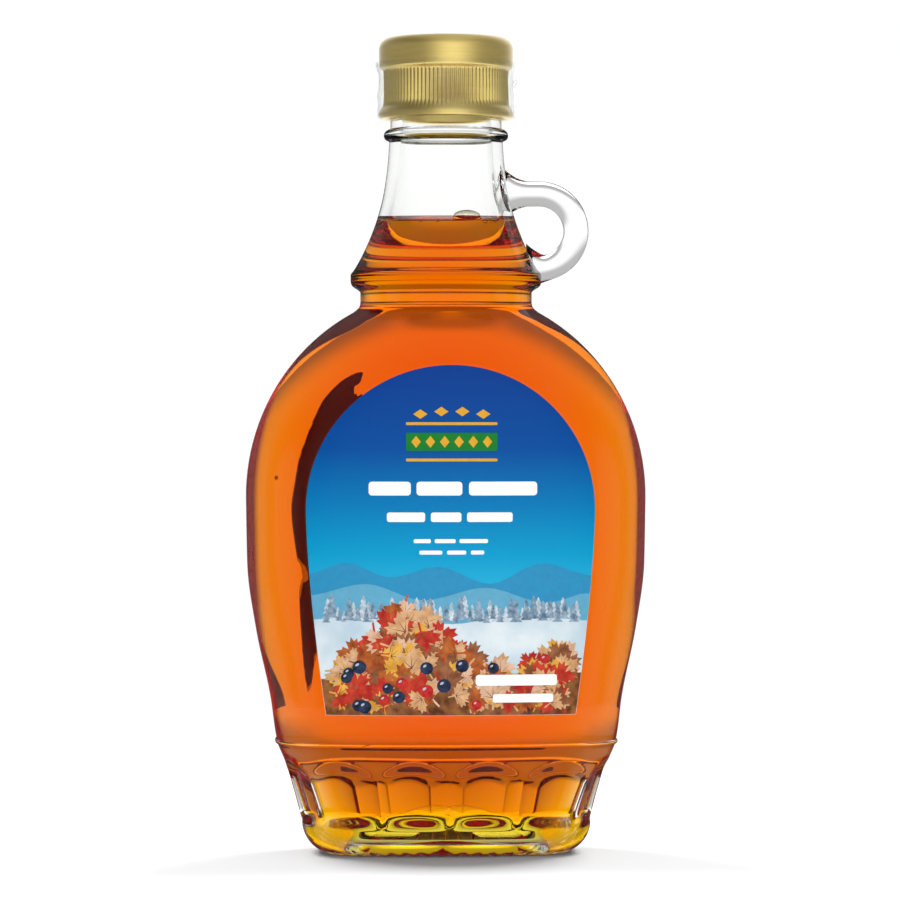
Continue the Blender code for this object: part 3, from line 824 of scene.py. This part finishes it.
def paper(name, colour, roughness, grain):
    """Plain paper; its grain is the scale, strength and depth of its unevenness."""
    inputs = {"Base Color": (*colour, 1.0), "Roughness": roughness}
    material, tree, shader = new_material(name, inputs)
    add_bump(tree, shader, *grain)
    return material


def glued_paper():
    """The white side of the label paper that is stuck to the glass."""
    return paper("glued side", (0.86, 0.85, 0.80), 0.7, GLUED_GRAIN)


def ink(name):
    """A satin ink on the fine grain of the paper, still without its colour."""
    material, tree, shader = new_material(name, {"Roughness": 0.38, "Specular IOR Level": 0.1})
    add_bump(tree, shader, *PAPER_GRAIN)
    return material, tree, shader, node_of(tree, "ShaderNodeTexCoord").outputs["Object"]


SKY = (
    (0.0, (0.72, 0.82, 0.86)), (0.22, (0.50, 0.74, 0.84)), (0.36, (0.02, 0.41, 0.67)),
    (0.46, (0.002, 0.32, 0.58)), (0.60, (0.001, 0.19, 0.46)), (0.76, (0.001, 0.075, 0.33)),
    (1.0, (0.002, 0.045, 0.27)),
)


def printed_sky():
    """Ink that runs from pale haze at the foot through bright blue to deep blue at the arch."""
    material, tree, shader, place = ink("printed sky")
    split = node_of(tree, "ShaderNodeSeparateXYZ", {"Vector": place})
    span = node_of(tree, "ShaderNodeMapRange", {
        "Value": split.outputs["Z"], "From Min": LABEL_BOTTOM * MM,
        "From Max": (LABEL_CENTRE_HEIGHT + FRONT_ARCH) * MM,
    })
    colour_ramp(tree, shader, span.outputs["Result"], SKY)
    return material


def mottled_paint(name, dark, light, scale):
    """A printed ink that wanders between two colours."""
    material, tree, shader, place = ink(name)
    noise = node_of(tree, "ShaderNodeTexNoise", {"Vector": place, "Scale": scale, "Detail": 5.0})
    colour_ramp(tree, shader, noise.outputs["Fac"], ((0.32, dark), (0.68, light)))
    return material


def paint(name, colour):
    """A printed ink of one colour, a little uneven as ink lies on paper."""
    thin = tuple(0.95 * part for part in colour)
    full = tuple(min(1.05 * part, 1.0) for part in colour)
    return mottled_paint(name, thin, full, 700.0)


PRINT_LIFT = LABEL_GLUE + LABEL_THICKNESS + 0.015
LAYER_STEP = 0.006


def clip_to_label(points, shape, margin, top_margin):
    """Keep an outline inside a label's edge."""
    kept = []
    for x, z in points:
        z = min(max(z, LABEL_BOTTOM + margin), LABEL_CENTRE_HEIGHT + shape[2] - top_margin)
        reach = label_half_width(z, *shape) - margin
        kept.append((min(max(x, -reach), reach), z))
    return kept


def print_shapes(name, outlines, material, side=FRONT):
    """Lay flat printed shapes on a label, each one lifted by its own layer number."""
    mesh = bmesh.new()
    for layer, outline in outlines:
        mesh.faces.new([mesh.verts.new((x, layer, z)) for x, z in outline])
    mesh.normal_update()
    bmesh.ops.triangulate(mesh, faces=mesh.faces, ngon_method="EAR_CLIP")
    cuts = [((0.5 * step, 0.0, 0.0), (1.0, 0.0, 0.0)) for step in range(-60, 61)]
    cuts += [((0.0, 0.0, LABEL_BOTTOM + 1.5 * step), (0.0, 0.0, 1.0)) for step in range(1, 49)]
    for place, normal in cuts:
        geometry = mesh.verts[:] + mesh.edges[:] + mesh.faces[:]
        bmesh.ops.bisect_plane(mesh, geom=geometry, plane_co=place, plane_no=normal)
    for vert in mesh.verts:
        lift = PRINT_LIFT + LAYER_STEP * vert.co.y
        vert.co = on_panel(vert.co.x, vert.co.z, side, lift)
    piece = piece_of(name, mesh, material)
    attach(piece, "root")


def laid(points, x, z, size, tilt):
    """Size an outline, turn it and lay it at its place."""
    c, s = math.cos(tilt), math.sin(tilt)
    return [(x + size * (a * c - b * s), z + size * (a * s + b * c)) for a, b in points]


BLOB_POINTS = 28


def blob(x, z, wide, high, tilt=0.0):
    """An ellipse outline."""
    points = [(wide * math.cos(turn), high * math.sin(turn)) for turn in turns_round(BLOB_POINTS)]
    return laid(points, x, z, 1.0, tilt)


def lozenge(x, z, wide, high):
    """A diamond outline."""
    return [(x + wide, z), (x, z + high), (x - wide, z), (x, z - high)]


def rounded_bar(x, z, wide, high, corner):
    """A bar with round corners."""
    outline = []
    for cx, cz, start in ((1, 1, 0), (-1, 1, 90), (-1, -1, 180), (1, -1, 270)):
        for step in range(7):
            turn = math.radians(start + 15.0 * step)
            outline.append((x + cx * (wide - corner) + corner * math.cos(turn),
                            z + cz * (high - corner) + corner * math.sin(turn)))
    return outline


MAPLE_LEAF = (
    (0.0, 1.0), (0.11, 0.74), (0.30, 0.86), (0.25, 0.42), (0.52, 0.62), (0.58, 0.48), (0.92, 0.50),
    (0.80, 0.32), (0.98, 0.16), (0.60, 0.0), (0.66, -0.16), (0.36, -0.14), (0.05, -0.22), (0.05, -0.72),
)


def leaf(x, z, size, tilt):
    """A maple leaf outline with its stalk."""
    points = list(MAPLE_LEAF) + [(-a, b) for a, b in MAPLE_LEAF[::-1] if a > 0.0]
    return laid(points, x, z, size, tilt)


def hill(points):
    """The outline of land under a rolling skyline, down to the foot of the front label."""
    skyline = []
    for (x0, z0), (x1, z1) in zip(points, points[1:]):
        for step in range(6):
            t = step / 6.0
            ease = t * t * (3.0 - 2.0 * t)
            skyline.append((x0 + (x1 - x0) * t, z0 + (z1 - z0) * ease))
    bottom = LABEL_BOTTOM
    reach = label_half_width(points[0][1], *FRONT_SHAPE) - 0.05
    skyline = [(x, z) for x, z in skyline if abs(x) < reach - 0.2]
    right = [(31.0, bottom + (skyline[-1][1] - bottom) * step / 12.0) for step in range(12, -1, -1)]
    left = [(-31.0, bottom + (skyline[0][1] - bottom) * step / 12.0) for step in range(13)]
    return clip_to_label(skyline + right + left, FRONT_SHAPE, 0.05, 0.1)


def fir(x, z, high):
    """A small fir tree outline."""
    wide = high * 0.26
    right = []
    for step in range(4):
        level = z + high * (0.08 + 0.23 * step)
        right += [(wide * (1.0 - 0.2 * step), level), (wide * (0.5 - 0.1 * step), level + high * 0.13)]
    right.append((0.0, z + high))
    return [(x + a, b) for a, b in right] + [(x - a, b) for a, b in right[-2::-1]]


def inside_label(outline, margin=0.3):
    """Whether an outline lies on the front label."""
    low = LABEL_BOTTOM + margin
    top = LABEL_CENTRE_HEIGHT + FRONT_ARCH - margin
    return all(low <= z <= top and abs(x) <= label_half_width(z, *FRONT_SHAPE) - margin for x, z in outline)


def leaf_veins(x, z, size, tilt):
    """The thin ribs of a leaf, as slim wedges from the root of its blade."""
    ribs = []
    for lean, reach in ((0.0, 0.82), (0.9, 0.72), (-0.9, 0.72), (1.55, 0.62), (-1.55, 0.62)):
        turn = tilt + lean
        tip = (x - size * reach * math.sin(turn), z + size * reach * math.cos(turn))
        wide = size * 0.022
        ax, az = wide * math.cos(turn), wide * math.sin(turn)
        root = (x + size * 0.1 * math.sin(tilt), z - size * 0.1 * math.cos(tilt))
        ribs.append([(root[0] - ax, root[1] - az), (root[0] + ax, root[1] + az), tip])
    return ribs


def heap_top(x):
    """Height of the heap of leaves across the label."""
    return 39.0 + 14.0 * math.exp(-((x + 9.0) / 11.0) ** 2) + 4.5 * math.exp(-((x - 22.0) / 6.0) ** 2)


FAR_HILLS = ((-31, 60.5), (-22, 63.0), (-13, 60.0), (-3, 62.2), (8, 58.6), (19, 62.8), (31, 60.0))
NEAR_HILLS = ((-31, 56.0), (-18, 58.6), (-6, 55.2), (7, 57.8), (20, 54.6), (31, 57.0))
SNOW_LINE = ((-31, 51.0), (-15, 52.4), (0, 50.2), (14, 52.2), (31, 50.6))
FIR_COUNT = 70
FIR_ROW_REACH = 29.0
FIR_ROW_HEIGHT = 50.6


def print_land(chance):
    """Two lines of hills, a snow field and a row of frosted firs."""
    print_shapes("print_far_hills", [(1, hill(FAR_HILLS))], paint("far hills", (0.03, 0.27, 0.50)))
    print_shapes("print_near_hills", [(2, hill(NEAR_HILLS))], paint("near hills", (0.12, 0.38, 0.56)))
    snow_white = mottled_paint("snow field", (0.46, 0.60, 0.70), (0.78, 0.84, 0.86), 90.0)
    print_shapes("print_snow", [(3, hill(SNOW_LINE))], snow_white)
    dark, pale = [], []
    for k in range(FIR_COUNT):
        x = -FIR_ROW_REACH + 2.0 * FIR_ROW_REACH * k / (FIR_COUNT - 1) + chance.uniform(-0.4, 0.4)
        outline = fir(x, FIR_ROW_HEIGHT + chance.uniform(-0.5, 0.5), chance.uniform(2.6, 5.6))
        if inside_label(outline, 0.2):
            (dark if k % 2 else pale).append((4 + k % 2, outline))
    fir_grey = mottled_paint("frosted firs", (0.08, 0.16, 0.24), (0.34, 0.44, 0.54), 900.0)
    print_shapes("print_firs", dark, fir_grey)
    fir_white = mottled_paint("snowy firs", (0.28, 0.38, 0.46), (0.66, 0.74, 0.80), 900.0)
    print_shapes("print_pale_firs", pale, fir_white)


WHITE_INK = (0.95, 0.97, 0.98)
WORD_ROWS = (
    (78.6, 1.45, 0.7, ((-13.0, 4.4), (-2.6, 4.8), (10.8, 7.2))),
    (72.6, 1.0, 0.5, ((-9.6, 4.0), (-1.2, 3.2), (8.0, 4.8))),
    (67.6, 0.42, 0.3, ((-6.2, 1.8), (-1.4, 2.2), (4.6, 3.0))),
    (65.2, 0.42, 0.3, ((-4.4, 2.4), (1.0, 2.0), (5.4, 1.4))),
)


def print_title():
    """A green bar with gold lozenges and rules, and white bars where words would be. A row of bars is its
    height, the bars' half height and corner, and the place and half width of each."""
    field = [(6, rounded_bar(0.0, 88.4, 9.6, 1.9, 0.3))]
    print_shapes("print_title_field", field, paint("title green", (0.01, 0.20, 0.03)))
    gold = [(7, lozenge(x, 88.4, 1.0, 1.25)) for x in (-7.5, -4.5, -1.5, 1.5, 4.5, 7.5)]
    gold += [(7, rounded_bar(0.0, z, 9.6, 0.3, 0.25)) for z in (92.2, 84.6)]
    gold += [(7, lozenge(x, 95.0 - abs(x) * 0.12, 1.5, 1.0)) for x in (-6.6, -2.2, 2.2, 6.6)]
    print_shapes("print_title_gold", gold, paint("title gold", (0.74, 0.38, 0.03)))
    words = []
    for z, high, corner, bars in WORD_ROWS:
        words += [(6, rounded_bar(x, z, wide, high, corner)) for x, wide in bars]
    print_shapes("print_word_bars", words, paint("white ink", WHITE_INK))


LEAF_INKS = (
    ("russet leaves", (0.26, 0.045, 0.012), (0.55, 0.15, 0.03)),
    ("tan leaves", (0.50, 0.25, 0.11), (0.74, 0.45, 0.24)),
    ("gold leaves", (0.60, 0.27, 0.03), (0.80, 0.46, 0.08)),
    ("brown leaves", (0.16, 0.05, 0.02), (0.36, 0.14, 0.06)),
    ("red leaves", (0.36, 0.012, 0.01), (0.62, 0.06, 0.03)),
    ("peach leaves", (0.58, 0.33, 0.20), (0.78, 0.52, 0.36)),
)
LEAF_COUNT = 260


def print_leaves(chance):
    """A heap of autumn leaves, the upper rows first and the lower ones over them."""
    crest = [(x, heap_top(x) - 1.5) for x in range(-28, 29, 4)]
    bed_brown = mottled_paint("leaf bed", (0.07, 0.02, 0.008), (0.34, 0.13, 0.04), 450.0)
    print_shapes("print_leaf_bed", [(7, hill(crest))], bed_brown)
    piles = [[] for ink in LEAF_INKS]
    ribs = []
    layer = 8.0
    for k in range(LEAF_COUNT):
        x = chance.uniform(-27.5, 27.5)
        row = LABEL_BOTTOM + (heap_top(x) - LABEL_BOTTOM) * (1.0 - k / LEAF_COUNT)
        z = row + chance.uniform(-1.5, 1.5)
        size = chance.uniform(2.4, 4.4)
        tilt = chance.uniform(0.0, 6.28)
        shape = leaf(x, z, size, tilt)
        if inside_label(shape, 0.1):
            piles[chance.randrange(len(LEAF_INKS))].append((layer, shape))
            ribs += [(layer + 0.08, rib) for rib in leaf_veins(x, z, size, tilt)]
            layer += 0.16
    for (name, low, high), pile in zip(LEAF_INKS, piles):
        print_shapes("print_" + name.replace(" ", "_"), pile, mottled_paint(name, low, high, 500.0))
    print_shapes("print_leaf_ribs", ribs, paint("leaf ribs", (0.16, 0.05, 0.02)))


BERRY_COUNT = 17
BERRY_LAYER = 44.0


def print_berries(chance):
    """Dark and red berries on the leaves, each with a spot of shine."""
    blue, red, shine = [], [], []
    for k in range(BERRY_COUNT):
        x, z = chance.uniform(-23.0, 23.0), chance.uniform(32.6, 43.0)
        size = chance.uniform(1.05, 1.5)
        ball = blob(x, z, size, size * 0.96)
        if inside_label(ball):
            layer = BERRY_LAYER + k * 0.2
            (red if k % 3 == 0 else blue).append((layer, ball))
            spot = blob(x - size * 0.3, z + size * 0.35, size * 0.3, size * 0.17, 0.6)
            shine.append((layer + 0.1, spot))
    berry_blue = mottled_paint("dark berries", (0.006, 0.008, 0.02), (0.03, 0.05, 0.11), 900.0)
    print_shapes("print_dark_berries", blue, berry_blue)
    berry_red = mottled_paint("red berries", (0.34, 0.008, 0.01), (0.62, 0.04, 0.03), 900.0)
    print_shapes("print_red_berries", red, berry_red)
    print_shapes("print_berry_shine", shine, paint("berry shine", (0.45, 0.50, 0.58)))


def print_front():
    """An autumn scene under a deep blue sky, with plain bars where words would be."""
    chance = random.Random(11)
    print_land(chance)
    print_title()
    print_leaves(chance)
    print_berries(chance)
    notes = [rounded_bar(13.6, 38.4, 8.6, 1.15, 0.6), rounded_bar(15.0, 34.6, 6.4, 0.9, 0.5)]
    print_shapes("print_low_bars", [(49, bar) for bar in notes], paint("white ink low", WHITE_INK))


BACK_SKY_FOOT = 86.0
BACK_RULE_FOOT = 84.8
SMALL_PRINT_TOP = 81.0
SMALL_PRINT_ROWS = 14
SMALL_PRINT_PITCH = 3.3


def print_back():
    """A blue arch with a green rule under it, and rows of fine bars where small print would be."""
    wide = BACK_HALF_WIDTH
    crown = []
    for k in range(46):
        turn = math.radians(4.0 * k)
        z = LABEL_CENTRE_HEIGHT + BACK_ARCH * math.sin(turn)
        if z > BACK_SKY_FOOT:
            crown.append((wide * math.cos(turn), z))
    sky = [(wide, BACK_SKY_FOOT)] + crown + [(-wide, BACK_SKY_FOOT)]
    sky = clip_to_label(sky, BACK_SHAPE, 0.4, 0.5)
    print_shapes("print_back_sky", [(1, sky)], paint("back blue", (0.002, 0.07, 0.30)), side=BACK)
    rule = [(wide, BACK_RULE_FOOT), (wide, BACK_SKY_FOOT), (-wide, BACK_SKY_FOOT), (-wide, BACK_RULE_FOOT)]
    rule = clip_to_label(rule, BACK_SHAPE, 0.4, 0.5)
    print_shapes("print_back_rule", [(2, rule)], paint("back green", (0.01, 0.20, 0.03)), side=BACK)
    gold = [(3, lozenge(x, 92.0, 1.2, 1.5)) for x in (-6.0, -2.0, 2.0, 6.0)]
    print_shapes("print_back_gold", gold, paint("back gold", (0.70, 0.36, 0.03)), side=BACK)
    chance = random.Random(5)
    bars = []
    for row in range(SMALL_PRINT_ROWS):
        x, z = -17.0, SMALL_PRINT_TOP - SMALL_PRINT_PITCH * row
        while x < 14.0:
            wide = chance.uniform(1.2, 3.4)
            bars.append((1, rounded_bar(x + wide, z, wide, 0.42, 0.3)))
            x += 2.0 * wide + 1.2
    print_shapes("print_back_bars", bars, paint("small print grey", (0.05, 0.06, 0.08)), side=BACK)


front_label = cut_label("front_print", FRONT, FRONT_SHAPE, printed_sky())
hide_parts("front_label")
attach(front_label, "root")
print_front()

cream_paper = paper("cream paper", (0.50, 0.47, 0.40), 0.5, PAPER_GRAIN)
back_label = cut_label("back_print", BACK, BACK_SHAPE, cream_paper)
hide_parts("back_label")
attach(back_label, "root")
print_back()

# Studio. A pale floor in a surround of white boards with dark gaps between them, which give the glass its
# bright middle and thin dark edges. Two lights from behind keep the shadow close to the foot, and a soft
# one in front is for the label and the cap.

FLOOR_RADIUS = 0.21


def lay_floor():
    """A wide plain floor."""
    material, tree, shader = new_material("pale floor", {
        "Base Color": (0.74, 0.74, 0.74, 1.0), "Roughness": 1.0, "Specular IOR Level": 0.0,
    })
    mesh = bmesh.new()
    bmesh.ops.create_circle(mesh, cap_ends=True, segments=128, radius=FLOOR_RADIUS)
    floor = finished_piece("floor", mesh, material)
    floor.visible_glossy = False


def direction_ramp(tree, source, low, high, at_low, at_high):
    """Turn one part of the ray's direction into a brightness."""
    span = node_of(tree, "ShaderNodeMapRange", {
        "Value": source, "From Min": low, "From Max": high, "To Min": at_low, "To Max": at_high,
    }, interpolation_type="SMOOTHSTEP")
    return span.outputs["Result"]


def combined(tree, operation, first, second=0.0):
    """Do one step of arithmetic on a brightness or a direction."""
    return node_of(tree, "ShaderNodeMath", {0: first, 1: second}, operation=operation).outputs["Value"]


def choose(tree, switch, off, on):
    """Take the second brightness where the switch is one."""
    inputs = {"Factor": switch, "A": off, "B": on}
    return node_of(tree, "ShaderNodeMix", inputs, data_type="FLOAT").outputs["Result"]


BACKDROP_WHITE = 1.02


def light_surround():
    """White boards with gaps at the sides, above and below, as seen through the glass. Paper and metal
    see a board in front, a little to the right. The gloss of clear glass shows the dark room."""
    world = bpy.data.worlds.new("surround")
    bpy.context.scene.world = world
    world.use_nodes = True
    tree = world.node_tree
    direction = node_of(tree, "ShaderNodeTexCoord").outputs["Generated"]
    split = node_of(tree, "ShaderNodeSeparateXYZ", {"Vector": direction})
    across, up = split.outputs["X"], split.outputs["Z"]
    sideways = combined(tree, "ABSOLUTE", across)
    rear_board = direction_ramp(tree, sideways, 0.78, 0.94, 1.07, 0.32)
    side_boards = direction_ramp(tree, sideways, 0.95, 0.985, 0.0, 0.7)
    boards = combined(tree, "ADD", rear_board, side_boards)
    above = direction_ramp(tree, up, 0.06, 0.33, 1.0, 0.48)
    below = direction_ramp(tree, up, -0.42, -0.22, 0.42, 1.0)
    through = combined(tree, "MULTIPLY", combined(tree, "MULTIPLY", boards, above), below)
    off_board = combined(tree, "ABSOLUTE", combined(tree, "SUBTRACT", across, 0.14))
    front_board = direction_ramp(tree, off_board, 0.08, 0.8, 1.2, 0.34)
    overhead = direction_ramp(tree, up, 0.3, 0.85, 1.0, 0.5)
    room = combined(tree, "MULTIPLY", front_board, overhead)
    gloss = direction_ramp(tree, up, 0.2, 0.9, 0.06, 0.25)
    ray = node_of(tree, "ShaderNodeLightPath").outputs
    mirror = combined(tree, "MULTIPLY", ray["Is Singular Ray"], ray["Is Reflection Ray"])
    passing = combined(tree, "MULTIPLY", ray["Is Singular Ray"], ray["Is Transmission Ray"])
    level = choose(tree, passing, room, through)
    level = choose(tree, mirror, level, gloss)
    level = choose(tree, ray["Is Camera Ray"], level, BACKDROP_WHITE)
    feed(tree, tree.nodes["Background"], {"Strength": level, "Color": (1.0, 1.0, 1.0, 1.0)})


def hang_light(light, aim, place=(0.0, 0.0, 0.0)):
    """Hang a light and turn it along its aim. It lights the things but isn't seen in their gloss."""
    lamp = bpy.data.objects.new(light.name, light)
    lamp.location = place
    lamp.rotation_euler = aim.to_track_quat("-Z", "Y").to_euler()
    lamp.visible_glossy = False
    lamp.visible_transmission = False
    bpy.context.scene.collection.objects.link(lamp)


def add_label_light():
    """A soft light in front, a little high and to the left, on the label and the cap."""
    light = bpy.data.lights.new("label_light", "AREA")
    light.shape = "RECTANGLE"
    light.size, light.size_y = 0.8, 0.6
    light.energy = 4.2
    place = Vector((-0.25, -1.3, 0.35))
    hang_light(light, Vector((0.0, 0.0, 0.09)) - place, place)


def add_rear_light(name, lean):
    """A high light from behind and one side. Only floor that neither of the two reaches is in shadow."""
    light = bpy.data.lights.new(name, "SUN")
    light.energy = 3.1
    light.angle = math.radians(34.0)
    hang_light(light, Vector((lean, -0.5, -1.0)))


PIXEL = 0.215
FRAME_WIDTH = 900.0
FLASK_COLUMN = 446.0
EYE_ROW = 405.0
GROUND_ROW = 852.0
FOCAL_PIXELS = 4249.0
FLASK_TURN = 3.0


def aim_camera():
    """A long lens nearly level with the label, as far off as gives the flask its size in the frame."""
    distance = FOCAL_PIXELS * PIXEL * MM
    eye = (GROUND_ROW - EYE_ROW) * PIXEL * MM
    turn = math.radians(FLASK_TURN)
    toward = Vector((math.sin(turn), math.cos(turn), 0.0))
    right = Vector((math.cos(turn), -math.sin(turn), 0.0))
    middle = right * (FRAME_WIDTH / 2.0 - FLASK_COLUMN) * PIXEL * MM
    camera_data = bpy.data.cameras.new("camera")
    camera_data.sensor_width = 36.0
    camera_data.lens = FOCAL_PIXELS / FRAME_WIDTH * camera_data.sensor_width
    camera_data.clip_start = 0.01
    camera = bpy.data.objects.new("camera", camera_data)
    camera.location = middle - toward * distance + Vector((0.0, 0.0, eye))
    target = middle + Vector((0.0, 0.0, (GROUND_ROW - FRAME_WIDTH / 2.0) * PIXEL * MM))
    camera.rotation_euler = (target - camera.location).to_track_quat("-Z", "Y").to_euler()
    bpy.context.scene.collection.objects.link(camera)
    bpy.context.scene.camera = camera


lay_floor()
light_surround()
add_rear_light("left_rear_light", 0.6)
add_rear_light("right_rear_light", -0.6)
add_label_light()
aim_camera()

scene = bpy.context.scene
scene.view_settings.view_transform = "Standard"
scene.cycles.max_bounces = 32
scene.cycles.transmission_bounces = 28
scene.cycles.transparent_max_bounces = 16
scene.cycles.use_denoising = True
